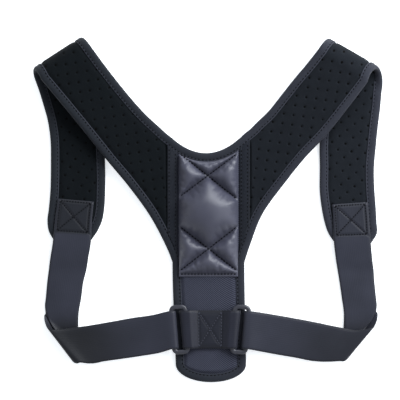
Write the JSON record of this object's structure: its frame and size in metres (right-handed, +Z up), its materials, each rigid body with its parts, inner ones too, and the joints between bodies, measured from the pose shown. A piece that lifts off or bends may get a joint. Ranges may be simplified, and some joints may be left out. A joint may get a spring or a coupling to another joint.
{
  "type": "posture corrector",
  "caption": "Upper back and shoulder brace: quilted back panel on a stem, bound foam shoulder straps folded forward, and webbing run through rings to pull the shoulders back.",
  "frame": {"origin": "under the middle of the brace's bounding box, on the surface it lies on", "axes": "+Z up from the surface, through the face with the pad; +Y from the foot of the stem to the shoulders; +X to the right of one looking down on the pad"},
  "size_m": [0.3494, 0.3446, 0.0276],
  "materials": {
    "twill": "diagonal twill, matt with a slight sheen",
    "pad_cover": "satin, quilted over soft filling",
    "edge_tape": "ribbed edge tape, matt",
    "webbing": "woven webbing, slight sheen",
    "foam": "perforated foam with a knitted face, matt",
    "ring": "glossy, rounded edges"
  },
  "bodies": {
    "root": {"back_panel": "twill", "quilted_pad": "pad_cover", "edge_binding": "edge_tape", "center_webbing": "webbing", "shoulder_strap_left": "foam", "shoulder_strap_right": "foam", "seam_tape_left": "edge_tape", "seam_tape_right": "edge_tape", "side_webbing_left": "webbing", "side_webbing_right": "webbing", "ring_left": "ring", "ring_right": "ring"}
  },
  "joints": []
}
